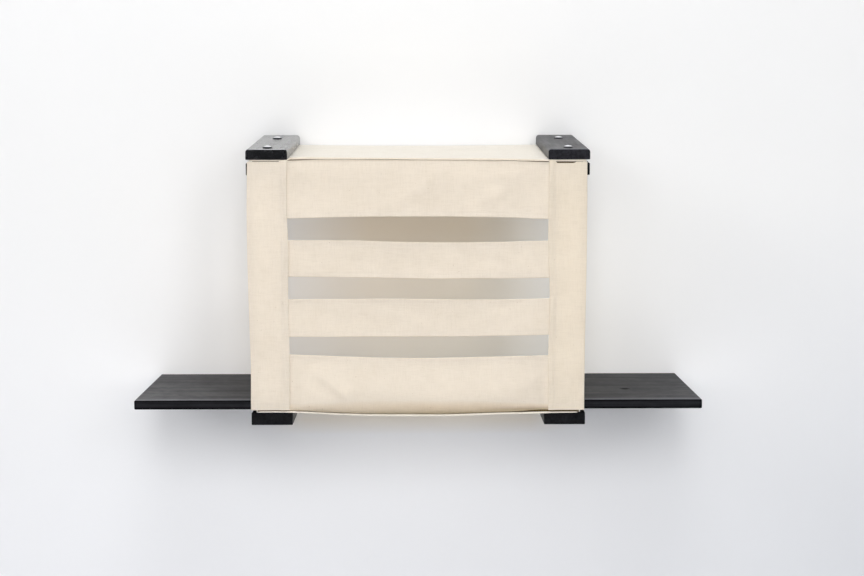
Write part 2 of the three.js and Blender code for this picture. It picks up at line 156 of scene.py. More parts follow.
def mesh_piece(name, points, faces, material):
    """A smooth mesh from points in millimetres that rides on the bed's one body."""
    mesh = bpy.data.meshes.new(name)
    mesh.from_pydata((np.asarray(points, float) * MM).tolist(), [], faces)
    mesh.validate()
    mesh.update()
    mesh.polygons.foreach_set("use_smooth", [True] * len(mesh.polygons))
    mesh.materials.append(material)
    piece = bpy.data.objects.new(name, mesh)
    bpy.context.scene.collection.objects.link(piece)
    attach(piece, "root")
    return piece


def unit(v):
    """The vectors of an array, each scaled to length 1."""
    return v / np.maximum(np.linalg.norm(v, axis=-1, keepdims=True), 1e-9)


def shell(name, grid, half, material):
    """A closed sheet: grid holds its middle surface, half its half thickness at each point."""
    nu, nv = grid.shape[:2]
    normal = unit(np.cross(np.gradient(grid, axis=0), np.gradient(grid, axis=1)))
    half = np.broadcast_to(half, (nu, nv))[..., None]
    plies = [(grid + normal * half).reshape(-1, 3), (grid - normal * half).reshape(-1, 3)]
    index = np.arange(nu * nv).reshape(nu, nv)
    a, b, c, d = index[:-1, :-1], index[1:, :-1], index[1:, 1:], index[:-1, 1:]
    front = np.stack([a, b, c, d], -1).reshape(-1, 4)
    back = front[:, ::-1] + nu * nv
    rim = np.concatenate([index[:, 0], index[-1, 1:], index[-2::-1, -1], index[0, -2:0:-1]])
    follow = np.roll(rim, -1)
    sides = np.stack([follow, rim, rim + nu * nv, follow + nu * nv], -1)
    faces = np.concatenate([front, back, sides]).tolist()
    return mesh_piece(name, np.concatenate(plies), faces, material)


def folded_section(hem_low, hem_high, fine=22):
    """The profile of a strip whose two edges are folded behind it, each by its own hem.

    Each point is (from_low, from_high, share, behind): millimetres from the low edge, or from the
    high edge, or else a share of the way between, and how far behind the front ply it lies.
    """
    r = (CLOTH + PLY_GAP) / 2
    half_turn = np.linspace(0, math.pi, 9)[1:-1]
    turns = [(r - r * math.sin(turn), r + r * math.cos(turn)) for turn in half_turn]
    flat = [(d, 0.0) for d in (r, 0.7, 2.2, 4.2, 5.4, 6.4, 7.6, FOLD_REACH)]

    def edge(hem):
        return [(d, 2 * r) for d in np.linspace(hem, r, 9)] + turns + flat

    low = [(d, None, None, behind) for d, behind in edge(hem_low)]
    middle = [(None, None, share, 0.0) for share in np.linspace(0, 1, fine)[1:-1]]
    high = [(None, d, None, behind) for d, behind in reversed(edge(hem_high))]
    return low + middle + high


def across(section, low, high):
    """Places of a section's points between the edges low and high, one row for each station."""
    out = []
    for from_low, from_high, share, _ in section:
        if from_low is not None:
            out.append(low + from_low)
        elif from_high is not None:
            out.append(high - from_high)
        else:
            out.append(low + FOLD_REACH + share * (high - low - 2 * FOLD_REACH))
    return np.stack(out, -1)


def stitch_line(points, normal, pitch=3.9, length=2.9, radius=0.26, sides=6):
    """Short raised threads along a line on cloth that faces the normal: points and faces."""
    up = np.array(normal)
    run = np.concatenate([[0], np.cumsum(np.linalg.norm(np.diff(points, axis=0), axis=1))])
    verts, faces = [], []
    # Share of the length, share of the radius and rise of each ring of a thread
    rings = [(0.0, 0.35, -0.22), (0.16, 0.85, 0.05), (0.5, 1.0, 0.16)]
    rings += [(0.84, 0.85, 0.05), (1.0, 0.35, -0.22)]
    for i in range(int(run[-1] // pitch)):
        start = i * pitch + (pitch - length) / 2
        base = len(verts)
        at = [start + share * length for share, _, _ in rings]
        middle = np.stack([np.interp(at, run, points[:, k]) for k in range(3)], -1)
        side = unit(np.cross(unit(np.gradient(middle, axis=0)), up))
        for j, (_, width, rise) in enumerate(rings):
            for k in range(sides):
                turn = 2 * math.pi * k / sides
                offset = side[j] * math.cos(turn) + up * math.sin(turn)
                verts.append(middle[j] + up * rise + offset * radius * width)
        for j in range(len(rings) - 1):
            for k in range(sides):
                p, q = base + j * sides + k, base + j * sides + (k + 1) % sides
                faces.append((p, p + sides, q + sides, q))
        faces.append([base + k for k in range(sides)])
        faces.append([base + (len(rings) - 1) * sides + k for k in reversed(range(sides))])
    return verts, faces


def stitching(name, lines, normal, material):
    """One piece that holds all the stitches along the given lines of points."""
    verts, faces = [], []
    for points in lines:
        v, f = stitch_line(points, normal)
        faces += [[i + len(verts) for i in face] for face in f]
        verts += v
    return mesh_piece(name, verts, faces, material)


# ---- Materials


class Nodes:
    """Builds a material's node tree around its Principled shader."""

    def __init__(self, name):
        self.material = bpy.data.materials.new(name)
        self.material.use_nodes = True
        self.tree = self.material.node_tree
        self.shader = self.tree.nodes["Principled BSDF"]
        self.output = self.tree.nodes["Material Output"]
        self.place = self.add("ShaderNodeTexCoord").outputs["Object"]

    def add(self, kind, inputs=(), **settings):
        """A new node, its inputs by name or number linked to sockets or set to values."""
        node = self.tree.nodes.new(kind)
        for key, value in settings.items():
            setattr(node, key, value)
        for key, value in dict(inputs).items():
            self.feed(value, node.inputs[key])
        return node

    def feed(self, value, socket):
        """Links a socket to an input, or sets the input to a value."""
        if isinstance(value, bpy.types.NodeSocket):
            self.tree.links.new(value, socket)
        else:
            socket.default_value = value

    def axes(self):
        """The place's x, y and z."""
        return list(self.add("ShaderNodeSeparateXYZ", {"Vector": self.place}).outputs)

    def scaled(self, scale, place=None):
        """The place, or another vector, times a scale for each axis."""
        vector = self.place if place is None else place
        return self.add("ShaderNodeMapping", {"Vector": vector, "Scale": scale}).outputs["Vector"]

    def noise(self, vector, scale, detail=2.0, rough=0.5):
        settings = {"Vector": vector, "Scale": scale, "Detail": detail, "Roughness": rough}
        return self.add("ShaderNodeTexNoise", settings).outputs["Fac"]

    def ramp(self, fac, stops):
        """Colours, or greys given as one number, at places from 0 to 1."""
        node = self.add("ShaderNodeValToRGB", {"Fac": fac})
        elements = node.color_ramp.elements
        while len(elements) < len(stops):
            elements.new(0.5)
        for element, (position, colour) in zip(elements, stops):
            element.position = position
            element.color = (*(colour if hasattr(colour, "__len__") else [colour] * 3), 1)
        return node.outputs["Color"]

    def math(self, operation, a, b=0.0, c=0.0):
        node = self.add("ShaderNodeMath", operation=operation)
        for socket, value in zip(node.inputs, (a, b, c)):
            self.feed(value, socket)
        return node.outputs[0]

    def times(self, a, *factors):
        for factor in factors:
            a = self.math("MULTIPLY", a, factor)
        return a

    def between(self, value, low, high, at_low, at_high):
        """Goes from at_low to at_high as the value goes from low to high."""
        inputs = {"Value": value, 1: low, 2: high, 3: at_low, 4: at_high}
        return self.add("ShaderNodeMapRange", inputs).outputs[0]

    def mix(self, fac, a, b, blend="MIX"):
        """Goes from colour a to b as fac goes from 0 to 1; each is a socket or three numbers."""
        node = self.add("ShaderNodeMix", data_type="RGBA", blend_type=blend)
        self.feed(fac, node.inputs[0])
        for key, value in ((6, a), (7, b)):
            linked = isinstance(value, bpy.types.NodeSocket)
            self.feed(value if linked else (*value, 1), node.inputs[key])
        return node.outputs[2]

    def stained(self, colour, stain, fac=1.0):
        """A colour multiplied by a stain, as far as fac says."""
        return self.mix(fac, colour, stain, "MULTIPLY")

    def bump(self, height, distance, strength=1.0, below=None):
        """A normal bent by a height, on top of the normal below."""
        inputs = {"Height": height, "Distance": distance, "Strength": strength}
        node = self.add("ShaderNodeBump", inputs)
        if below is not None:
            self.feed(below, node.inputs["Normal"])
        return node.outputs["Normal"]

    def set(self, **values):
        """Feeds the Principled shader's inputs, with _ for each space in a name."""
        for key, value in values.items():
            self.feed(value, self.shader.inputs[key.replace("_", " ")])


PLAIN = (1.0, 1.0, 1.0)
COTTON = (0.97, 0.888, 0.775)
BLACK_STAIN = (0.0102, 0.0102, 0.0128)


def canvas_material(name, flat_axis, tint=PLAIN, through=0.3, seam=None, right_tint=None):
    """Natural cotton canvas, woven along the two axes that aren't flat_axis.

    through is the share of light that the cloth lets through. seam is (height at the middle, rise
    towards the ends) of a seam above which painted shade darkens and browns the cloth where it
    curls under, more so towards the right. right_tint is painted shade that darkens the cloth
    further towards the right.
    """
    n = Nodes(name)
    x, y, z = xyz = n.axes()
    free = [i for i in range(3) if i != flat_axis]
    yarns = 2 * math.pi / (YARN * MM)
    warp, weft = (n.math("SINE", n.times(xyz[i], yarns)) for i in free)
    lift = n.math("MULTIPLY_ADD", n.times(warp, weft), 0.5, 0.5)

    # Slubs drawn out along each of the two sets of yarns, and clouds across the cloth
    drawn, close = 45.0, 520.0
    slub_a, slub_b = (
        n.noise(n.scaled([close if i == axis else drawn for i in range(3)]), 1.6) for axis in free
    )
    slubs = n.math("MULTIPLY_ADD", slub_a, 0.5, n.times(slub_b, 0.5))
    cloud = n.noise(n.place, 26.0, 3.0, 0.55)
    base = np.array(COTTON) * tint
    dark, light = tuple(base * (0.965, 0.96, 0.95)), tuple(np.minimum(base * 1.025, 1))
    colour = n.ramp(slubs, [(0.36, dark), (0.5, tuple(base)), (0.64, light)])
    blotches = [(0.3, (0.983, 0.981, 0.975)), (0.5, PLAIN), (0.72, (1.012, 1.012, 1.01))]
    colour = n.stained(colour, n.ramp(cloud, blotches))
    colour = n.stained(colour, n.ramp(lift, [(0.0, (0.93, 0.93, 0.92)), (1.0, (1.02, 1.02, 1.02))]))

    # Flecks of seed
    cells = n.add("ShaderNodeTexVoronoi", {"Vector": n.place, "Scale": 95.0, "Randomness": 1.0})
    size = n.math("SUBTRACT", n.times(n.noise(n.place, 40.0, 1.0), 0.11), 0.014)
    fleck = n.math("LESS_THAN", cells.outputs["Distance"], size)
    colour = n.mix(n.times(fleck, 0.42), colour, (0.42, 0.31, 0.2))

    # Painted shade above the bottom seam, where the cloth curls under it: darker and browner near
    # the seam, more so towards the right, with a painted crease shade over the right third
    if seam is not None:
        seam_height, seam_rise = seam
        aside = n.times(x, 1 / (BAND_END * MM))
        outwards = n.times(aside, aside)
        height = n.math("SUBTRACT", z, seam_height * MM)
        height = n.math("SUBTRACT", height, n.times(outwards, seam_rise * MM))
        height = n.math("MULTIPLY_ADD", n.math("SUBTRACT", cloud, 0.5), 5 * MM, height)
        reach = n.math("MULTIPLY_ADD", outwards, -12 * MM, 22 * MM)
        near = n.math("DIVIDE", height, reach)
        curl_shade = [
            (0.0, (0.7, 0.63, 0.48)), (0.14, (0.78, 0.7, 0.57)), (0.27, (0.82, 0.755, 0.64)),
            (0.41, (0.87, 0.81, 0.71)), (0.6, (0.94, 0.89, 0.81)), (0.82, (0.975, 0.95, 0.91)),
            (1.0, 1.0),
        ]
        colour = n.stained(colour, n.ramp(near, curl_shade), n.between(aside, -0.8, 0.1, 0.55, 1.0))
        crease_shade = [
            (0.1, 1.0), (0.2, (0.9, 0.89, 0.83)), (0.3, (0.83, 0.8, 0.755)),
            (0.4, (0.885, 0.875, 0.88)), (0.52, (0.93, 0.92, 0.94)), (0.68, 1.0),
        ]
        colour = n.stained(colour, n.ramp(near, crease_shade), n.between(aside, 0.4, 0.65, 0.0, 1.0))
    # Painted shade that darkens the cloth towards the right
    if right_tint is not None:
        to_right = n.between(x, 0.02, 0.17, 0.0, 1.0)
        colour = n.stained(colour, n.mix(to_right, PLAIN, right_tint))

    fuzz = n.noise(n.place, 900.0)
    normal = n.bump(cloud, 0.4 * MM, 0.2)
    normal = n.bump(slubs, 0.1 * MM, 0.5, normal)
    normal = n.bump(n.math("MULTIPLY_ADD", fuzz, 0.3, lift), 0.14 * MM, 0.7, normal)
    rough = n.math("MULTIPLY_ADD", slubs, 0.12, 0.86)
    n.set(Base_Color=colour, Roughness=rough, Normal=normal)
    n.set(Specular_IOR_Level=0.2, Sheen_Weight=0.18, Sheen_Roughness=0.5)
    n.set(Sheen_Tint=(1.0, 0.97, 0.92, 1))
    glow = n.add("ShaderNodeBsdfTranslucent", {"Color": colour, "Normal": normal})
    both = {0: through, 1: n.shader.outputs[0], 2: glow.outputs[0]}
    n.feed(n.add("ShaderNodeMixShader", both).outputs[0], n.output.inputs["Surface"])
    return n.material


def wood_material(name, grain_axis, shade, sheen, rough, knots=(), edge=None, oil=0.0, foot=None):
    """Black-stained open-grained timber with a satin oil, its grain along one axis.

    knots are (place, radius), edge is the (y, z) of a front top edge along which a pale highlight
    is painted, and oil is the weight of a glossier coat. foot, which needs an edge, is the height
    of the bottom of a board that stands out at both ends: painted shade darkens its lower edge and
    the tips of its front, and painted light makes its top paler towards the ends and the front.
    """
    n = Nodes(name)
    fine, broad = [300.0] * 3, [26.0] * 3
    fine[grain_axis], broad[grain_axis] = 5.0, 1.4
    # The grain wanders sideways, but not along itself
    warp = n.noise(n.place, 7.0)
    wander = [0.0 if i == grain_axis else 0.012 for i in range(3)]
    shift = n.add("ShaderNodeCombineXYZ", {i: n.times(warp, wander[i]) for i in range(3)})
    bent = n.add("ShaderNodeVectorMath", {0: n.place, 1: shift.outputs[0]}, operation="ADD")
    pores = n.noise(n.scaled(fine, bent.outputs[0]), 1.0, 4.0, 0.6)
    rings = n.noise(n.scaled(broad, bent.outputs[0]), 2.2, 3.0, 0.6)
    wear_and_highlight = n.noise(n.place, 14.0, 4.0, 0.6)
    base = np.array(BLACK_STAIN) * shade
    tones = [(0.3, tuple(base * 0.72)), (0.55, tuple(base)), (0.75, tuple(base * 1.75))]
    colour = n.stained(n.ramp(rings, tones), n.ramp(pores, [(0.38, 0.62), (0.56, 1.08)]))
    patchy = n.noise(n.place, 55.0, 3.0, 0.65)
    streaky = n.math("MULTIPLY_ADD", pores, 0.5, n.times(patchy, 0.5))
    bright = min(sheen * 1.35, 1.0)
    lustre = n.ramp(streaky, [(0.34, sheen * 0.66), (0.5, sheen), (0.64, bright)])

    for spot, radius in knots:
        centre = tuple(c * MM for c in spot)
        away = n.add("ShaderNodeVectorMath", {0: n.place, 1: centre}, operation="DISTANCE")
        ring = n.math("DIVIDE", away.outputs["Value"], radius * MM)
        ring = n.math("ADD", ring, n.math("SUBTRACT", streaky, 0.5))
        heart = [(0.0, 0.65), (0.3, 0.35), (0.55, 0.6), (0.8, 1.35), (1.0, 1.0)]
        colour = n.stained(colour, n.ramp(ring, heart))
        dull = [(0.0, 0.08), (0.35, 0.03), (0.55, 0.35), (0.8, 1.25), (1.0, 1.0)]
        lustre = n.stained(lustre, n.ramp(ring, dull))

    # Painted highlight along the front top edge, patchy with the noise
    if edge is not None:
        edge_y, edge_z = edge
        x, y, z = n.axes()
        near, far, drop, least = (1.0, 5.0, 0.9, 0.3) if foot is None else (7.0, 24.0, 0.25, 0.15)
        back = n.between(y, (edge_y + near) * MM, (edge_y + far) * MM, 1.0, 0.0)
        above = n.math("GREATER_THAN", z, (edge_z - drop) * MM)
        painted_edge_highlight = n.times(n.times(back, above), n.math("MULTIPLY_ADD", wear_and_highlight, 0.6, least))
        colour = n.mix(painted_edge_highlight, colour, (0.17, 0.175, 0.2))

    # Painted light makes the top paler towards the ends and the front; painted shade darkens the
    # lower edge and the front's tips, in colour and lustre
    if foot is not None:
        to_front = n.between(y, -0.1, -0.27, 0.25, 1.0)
        to_left = n.between(x, -0.27, -0.385, 0.0, 0.3)
        to_right = n.between(x, 0.32, 0.43, 0.0, 0.13)
        painted_end_light = n.times(n.math("ADD", to_left, to_right), n.times(to_front, above))
        painted_end_light = n.times(painted_end_light, n.between(streaky, 0.4, 0.6, 0.55, 1.45))
        colour = n.mix(painted_end_light, colour, (0.2, 0.2, 0.206))
        low = n.between(z, (foot + 1.0) * MM, (foot + 4.6) * MM, 0.05, 1.0)
        rounding = n.math("MAXIMUM", above, n.between(z, -1.2 * MM, -2.6 * MM, 0.2, 1.0))
        tip = n.between(n.math("ABSOLUTE", x), 0.4275, 0.4315, 1.0, 0.35)
        dark = n.times(low, rounding, n.math("MAXIMUM", above, tip))
        colour = n.stained(colour, dark)
        lustre = n.stained(lustre, dark)

    gloss = n.math("MULTIPLY_ADD", rings, 0.3, n.math("MULTIPLY_ADD", wear_and_highlight, 0.2, rough))
    normal = n.bump(pores, 0.16 * MM, 0.8, n.bump(rings, 0.35 * MM, 0.5))
    n.set(Base_Color=colour, Roughness=gloss, Normal=normal)
    n.set(Specular_IOR_Level=lustre, Coat_Weight=oil, Coat_Roughness=0.2)
    return n.material


def steel_material():
    """Black powder coat with a fine orange-peel texture."""
    n = Nodes("powder_coat")
    peel = n.noise(n.place, 1500.0, 3.0)
    cloud = n.noise(n.place, 60.0)
    colour = n.ramp(cloud, [(0.35, (0.014, 0.014, 0.015)), (0.7, (0.024, 0.024, 0.026))])
    n.set(Base_Color=colour, Roughness=n.math("MULTIPLY_ADD", peel, 0.25, 0.36))
    n.set(Normal=n.bump(peel, 0.12 * MM, 0.6), Specular_IOR_Level=0.5)
    return n.material


def zinc_material(name, dark, bright, foot=None):
    """Zinc plate with faint brushing, its colour between dark and bright.

    foot is the height at the wall of the sloping surface that domed heads sit on; painted shade
    darkens the heads' rims just above it.
    """
    n = Nodes(name)
    brushed = n.noise(n.scaled((120.0, 900.0, 900.0)), 2.0)
    colour = n.ramp(n.noise(n.place, 220.0, 3.0), [(0.3, dark), (0.7, bright)])
    # Painted shade round the heads' rims, just above the wood
    if foot is not None:
        _, y, z = n.axes()
        level = n.math("MULTIPLY_ADD", y, SLOPE, foot * MM)
        rise = n.math("DIVIDE", n.math("SUBTRACT", z, level), 3.4 * MM)
        painted_rim_shade = [(0.25, (0.02, 0.02, 0.025)), (0.5, (0.05, 0.05, 0.06)), (0.7, 1.0)]
        colour = n.stained(colour, n.ramp(rise, painted_rim_shade))
    n.set(Base_Color=colour, Roughness=n.math("MULTIPLY_ADD", brushed, 0.18, 0.2))
    n.set(Normal=n.bump(brushed, 0.05 * MM, 0.4), Metallic=1.0)
    return n.material


canvas_front = canvas_material("canvas_front", 1)
# canvas_bottom carries painted shade above the bottom seam, where the band curls under
canvas_bottom = canvas_material("canvas_bottom", 1, seam=(-20.3, 4.6))
# A paler, cooler copy of the canvas for the roof and floor: painted light, the sheen of overhead
# light on the level cloth
canvas_level_painted_light = canvas_material("canvas_level_painted_light", 2, (1.012, 1.062, 1.13))
canvas_right = canvas_material("canvas_right", 1, (0.995, 0.988, 0.965))
# A dark copy of the canvas: painted shade for the grooves under the seams' lips, darker towards the
# right
canvas_seam_shade = canvas_material(
    "canvas_seam_shade", 1, (0.28, 0.25, 0.22), 0.0, right_tint=(0.42, 0.38, 0.26)
)
# The floor lip's own copy of the canvas, its tone set for how the lip is lit: painted light and
# shade
canvas_lip = canvas_material("canvas_lip", 1, (0.88, 0.89, 0.9), 0.0)
thread = canvas_material("cotton_thread", 1, (0.96, 0.96, 0.98), 0.0)
KNOT = ((326.5, -173.0, 0.0), 13.0)
SHELF_EDGE = (shelf_low[1], shelf_high[2])
shelf_wood = wood_material(
    "shelf_wood", 0, 1.15, 0.2, 0.3, knots=[KNOT], edge=SHELF_EDGE, foot=shelf_low[2]
)
arm_wood = wood_material("arm_wood", 1, 0.45, 0.24, 0.2)
left_cap_wood = wood_material("left_cap_wood", 1, 0.62, 0.8, 0.02, edge=CAP_EDGE, oil=0.35)
right_cap_wood = wood_material("right_cap_wood", 1, 1.65, 0.26, 0.16, edge=CAP_EDGE)
steel = steel_material()
zinc = zinc_material("zinc_plate", (0.34, 0.345, 0.36), (0.56, 0.57, 0.59))
# A brighter copy of the zinc for the cap bolts: partly painted highlight on their domed tops
zinc_head = zinc_material("zinc_head", (0.74, 0.75, 0.77), (0.95, 0.96, 0.98), CAP_LEVEL)

BY_NAME = {
    "shelf_board": shelf_wood,
    "cap_left": left_cap_wood,
    "cap_right": right_cap_wood,
    "block_left": arm_wood,
    "block_right": arm_wood,
}
BY_START = {"arm_": arm_wood, "bracket_": steel, "canvas_": canvas_front, "cap_bolt": zinc_head}

# The washers, nuts and screws are in neither table
for name, node in nodes.items():
    material = BY_NAME.get(name, zinc)
    for start, look in BY_START.items():
        if name.startswith(start):
            material = look
    for slot in node.material_slots:
        slot.material = material

# ---- Canvas front: heights of the edges across the front

SLOT_XS = (-208.5, -190, -96, 0.5, 145, 192, 208.5)
SLOT_HEIGHTS = {
    "slot1_top": (276.4, 276.8, 278.9, 279.2, 277.1, 275.1, 274.6),
    "slot1_low": (243.3, 243.3, 242.6, 240.1, 240.8, 241.9, 242.3),
    "slot2_top": (188.9, 188.8, 187.5, 185.7, 186.0, 186.3, 186.4),
    "slot2_low": (154.2, 154.2, 154.6, 154.4, 153.5, 154.6, 154.9),
    "slot3_top": (97.4, 97.4, 97.6, 97.7, 98.8, 99.6, 99.8),
    "slot3_low": (70.4, 70.0, 66.7, 64.5, 67.1, 67.9, 68.2),
}
SEAMS = {
    "top_seam": [
        (-208.5, 362.5), (-190, 362.7), (-165, 363.6), (-120, 364.0), (-95, 363.9), (1, 363.2),
        (100, 362.4), (145, 361.8), (180, 360.4), (191, 360.1), (208.5, 360.0),
    ],
    "low_seam": [
        (-208.5, -14.9), (-190, -15.2), (-150, -17.0), (-120, -18.6), (-60, -20.2), (0.5, -20.5),
        (60, -20.2), (120, -18.3), (150, -17.2), (178, -14.9), (208.5, -14.9),
    ],
}
EDGES = {name: spline(list(zip(SLOT_XS, heights))) for name, heights in SLOT_HEIGHTS.items()}
EDGES.update({name: spline(points) for name, points in SEAMS.items()})
SLOTS = [(EDGES[f"slot{i}_top"], EDGES[f"slot{i}_low"]) for i in (1, 2, 3)]

# How far the slack canvas stands forward of its flat plane at the middle, by height
BELLY_FOOT = -20.6
BELLY = spline(
    [
        (BELLY_FOOT, 0.0), (-20, 1.0), (-18.5, 3.1), (-17, 4.8), (-15, 6.6), (-12.8, 8.1),
        (-10, 9.7), (-7, 11.0), (-4, 12.0), (0, 12.9), (5, 13.3), (11, 12.9), (18, 11.6),
        (28, 8.9), (42, 5.6), (56, 3.3), (68, 2.7),
        (98, 2.6), (112, 1.5), (138, 1.4),
        (154, 2.2), (187, 2.8), (202, 1.6), (226, 1.5), (241, 2.4), (278, 3.4), (292, 2.2),
        (318, 1.6), (340, 2.2), (347, 2.3), (352, 2.0), (356, 1.6), (360, 1.1), (362, 0.7),
        (363.8, 0.0),
    ]
)
front_folds = ripples(7, 9, 70, 190, 1.3)
front_creases = ripples(11, 10, 18, 55, 1.4)

# Soft pull lines in the cloth: x and z of both ends, width, height and, if it differs, the width
# on the left of the line as seen from its first end
PULLS = [
    (-150, 43, -101, 0, 10, 5.6, 50),
    (-182, 26, -140, -4, 5, 0.8),
    (-126, 28, -100, -8, 6, 1.3),
    (186, 36, 112, -4, 9, 2.2),
    (150, 4, 40, -6, 7, 1.6),
    (190, 12, 90, -9, 5, 1.5),
    (-52, 289, 36, 340, 9, 1.4),
    (104, 300, 152, 341, 12, 1.4),
    (60, 292, 176, 322, 13, 1.1),
    (-96, 297, -18, 299, 5, 0.7),
    (-186, 352, -120, 318, 8, 1.1),
    (178, 348, 60, 330, 9, 1.0),
    (-150, 232, -60, 214, 8, 0.8),
    (60, 236, 170, 210, 8, 0.8),
    (-120, 146, 10, 122, 9, 0.8),
    (80, 118, 176, 142, 8, 0.8),
]


def pulls(x, z):
    """The height of all the pull lines at a point of the front."""
    total = 0.0
    for x0, z0, x1, z1, width, height, *left_width in PULLS:
        dx, dz = x1 - x0, z1 - z0
        if left_width:
            width = np.where((z - z0) * dx > (x - x0) * dz, left_width[0], width)
        along = ((x - x0) * dx + (z - z0) * dz) / (dx * dx + dz * dz)
        near = np.clip(along, 0, 1)
        away = np.hypot(x - x0 - near * dx, z - z0 - near * dz)
        fade = step(along, -0.25, 0.3) * step(along, 1.25, 0.6)
        total = total + height * fade * hump(away, width)
    return total


def front_depth(x, z):
    """How far the bands' front ply stands towards the room at a point."""
    to_right = step(x, -60, 110)
    share = np.clip(np.abs(x) / STRAP_IN, 0, 1)
    slack = (1 - share ** (4 - to_right)) ** (0.5 + 0.25 * to_right) * (0.9 + 0.08 * to_right)
    free = step(np.abs(x), STRAP_IN, STRAP_IN - 22)
    off_seams = step(z, -12, 20) * step(z, 364, 340)
    # The belly's heights follow the seam, which rises towards the straps
    sunk = EDGES["low_seam"](x) - BELLY_FOOT
    above = np.maximum(z - EDGES["low_seam"](x), 0)
    tighter = step(np.abs(x), 110, 185) * (1 - 0.2 * to_right) * above * step(above, 34, 4)
    rolled = z - np.maximum(sunk, 0) * step(z, 30, -15) + tighter
    waves = 0.6 * front_folds(x, z) + 0.16 * front_creases(x, z) + pulls(x, z)
    return BELLY(rolled) * slack * free + free * off_seams * waves


SEAM_SINK = 0.22  # how deep a band's stitches pull its cloth in


def band(name, node, high_edge, low_edge, hem_low, hem_high):
    """A level strip of the front, its two long edges folded behind it, and its stitch lines."""
    xs = stations(-BAND_END, BAND_END, 0.3, 1)
    section = folded_section(hem_low, hem_high)
    z = across(section, EDGES[low_edge](xs), EDGES[high_edge](xs))
    x = np.broadcast_to(xs[:, None], z.shape)
    behind = np.array([row[3] for row in section])
    front = behind < 0.1
    dent = np.zeros_like(z)
    lines = []
    lx = xs[np.abs(xs) < STRAP_IN - 0.5]
    for edge, hem, inwards in ((low_edge, hem_low, 1), (high_edge, hem_high, -1)):
        if hem > TURNING:
            seam = (z - EDGES[edge](xs)[:, None]) * inwards - SEAM
            dent += SEAM_SINK * hump(seam, 1.3) * front
            dent -= 0.18 * step(seam, 3.2, 1.6) * front
            lz = EDGES[edge](lx) + inwards * SEAM
            ly = BAND_PLY_Y + SEAM_SINK - front_depth(lx, lz) - CLOTH / 2
            lines.append(np.stack([lx, ly, lz], -1))
    y = BAND_PLY_Y + dent + behind - front_depth(x, z)
    cloth = canvas_bottom if low_edge == "low_seam" else canvas_front
    piece = shell(name, np.stack([x, y, z], -1), CLOTH / 2, cloth)
    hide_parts(node)
    return piece, lines


BANDS = [
    ("band_top", "canvas_band_top", "top_seam", "slot1_top", HEM, TURNING),
    ("band_upper", "canvas_band_upper", "slot1_low", "slot2_top", HEM, HEM),
    ("band_lower", "canvas_band_lower", "slot2_low", "slot3_top", HEM, HEM),
    ("band_bottom", "canvas_band_bottom", "slot3_low", "low_seam", TURNING, HEM),
]
for name, node, high_edge, low_edge, hem_low, hem_high in BANDS:
    piece, lines = band(name, node, high_edge, low_edge, hem_low, hem_high)
    threads = stitching(name + "_stitching", lines, TO_ROOM, thread)
    middle = float(EDGES[high_edge](0) - EDGES[low_edge](0))

# ---- Straps: upright strips over the bands' ends, their long edges folded behind them

# Heights of the foot and the top, and distances of both edges from the middle by height
STRAPS = {
    -1: (
        -14.6,
        361.4,
        [
            (-15.7, 195.6), (83, 195.2), (171, 196.2), (246, 195.8), (273, 197.0), (320, 197.4),
            (362, 197.0),
        ],
        [(-15.7, 253.8), (46, 253.4), (140, 255.4), (228, 257.0), (348, 256.0), (362, 255.6)],
    ),
    1: (
        -15.2,
        358.9,
        [
            (-15.7, 197.6), (82, 197.3), (170, 198.6), (244, 196.2), (270, 196.5), (320, 196.9),
            (362, 197.2),
        ],
        [(-15.7, 251.6), (37, 251.6), (140, 252.8), (288, 254.1), (348, 253.9), (362, 253.8)],
    ),
}
INNER_CORNER_Z = 363.6  # the top of a strap where it goes up under the cap
# Stitch lines: from the inner edge at its fold and at its hem, and from the outer edge
FOLD_SEAM, HEM_SEAM, OUTER_SEAM = 3.2, 9.6, 4.4


